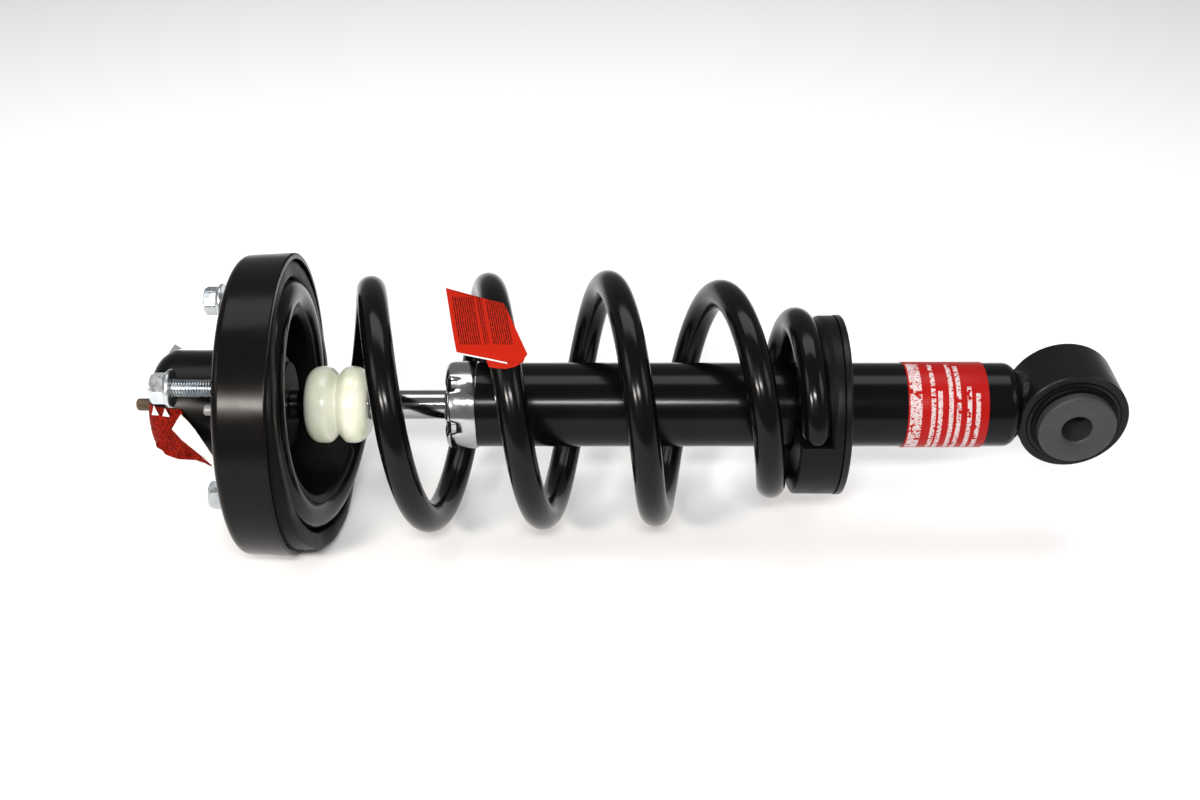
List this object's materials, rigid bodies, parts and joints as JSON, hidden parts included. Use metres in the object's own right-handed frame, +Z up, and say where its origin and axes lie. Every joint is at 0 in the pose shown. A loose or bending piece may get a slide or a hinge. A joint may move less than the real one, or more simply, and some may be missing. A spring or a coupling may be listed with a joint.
{
  "type": "strut assembly",
  "caption": "Loaded coil-over strut: a cup-shaped stud mount, a coil spring with a reduced last turn, a twin-tube damper with a bump stop, and a rubber-bushed lower eye.",
  "frame": {"origin": "on the strut's axis, in the plane of the upper mount's top face", "axes": "+X along the strut towards the lower eye, +Y along the lower eye's bore, +Z up"},
  "size_m": [0.5946, 0.1828, 0.1828],
  "materials": {
    "mount_black": "satin black paint with a faint brown sheen",
    "zinc_steel": "bright zinc plate",
    "rubber_black": "moulded black rubber",
    "coil_black": "gloss black powder coat",
    "rod_chrome": "ground hard chrome",
    "bump_urethane": "semi-gloss ivory urethane",
    "cap_chrome": "bright plated steel pressing",
    "tube_black": "gloss black paint",
    "plain_steel": "drawn steel tube",
    "sintered_iron": "sintered iron",
    "slide_polymer": "low-friction polymer",
    "hub_grey": "matte grey casting",
    "label_red": "printed red film",
    "tag_red": "printed red paper"
  },
  "bodies": {
    "upper_assembly": {"mount_shell": "mount_black", "mount_dome": "mount_black", "core_plate": "mount_black", "lower_washer": "zinc_steel", "upper_washer": "zinc_steel", "core_sleeve": "zinc_steel", "upper_cushion": "rubber_black", "lower_cushion": "rubber_black", "rod_nut": "zinc_steel", "mount_studs": "zinc_steel", "stud_nuts": "zinc_steel", "locating_pin": "zinc_steel", "upper_isolator": "rubber_black", "coil_spring": "coil_black", "coil_tag": "tag_red", "rod_tag": "tag_red", "piston_rod": "rod_chrome", "rebound_stop": "slide_polymer", "piston": "sintered_iron", "piston_band": "slide_polymer", "piston_nut": "zinc_steel"},
    "damper_body": {"striker_cap": "cap_chrome", "outer_tube": "tube_black", "rod_seal": "rubber_black", "rod_guide": "sintered_iron", "inner_tube": "plain_steel", "foot_valve": "sintered_iron", "base_cap": "tube_black", "lower_spring_seat": "tube_black", "lower_isolator": "rubber_black", "lower_eye": "tube_black", "eye_weld": "tube_black", "bushing_shell": "plain_steel", "bushing_rubber": "rubber_black", "tube_label": "label_red"},
    "bump_stop_body": {"bump_stop": "bump_urethane"},
    "bushing_hub_body": {"bushing_hub": "hub_grey"}
  },
  "joints": [
    {"name": "damper_slide", "type": "slide", "parent": "upper_assembly", "child": "damper_body", "axis": [-1, 0, 0], "range_m": [0, 0.0565], "stiffness_N_per_m": 90000, "deforming": ["coil_spring", "coil_tag"]},
    {"name": "bump_stop_slide", "type": "slide", "parent": "upper_assembly", "child": "bump_stop_body", "axis": [-1, 0, 0], "range_m": [0, 0.0104]},
    {"name": "bushing_twist", "type": "hinge", "parent": "damper_body", "child": "bushing_hub_body", "pos_m": [0.495, 0, 0], "axis": [0, 1, 0], "range_deg": [-15, 15], "stiffness_Nm_per_rad": 5}
  ],
  "couplings": [
    {"joint": "bump_stop_slide", "follows": "damper_slide", "ratio": 0.18}
  ]
}
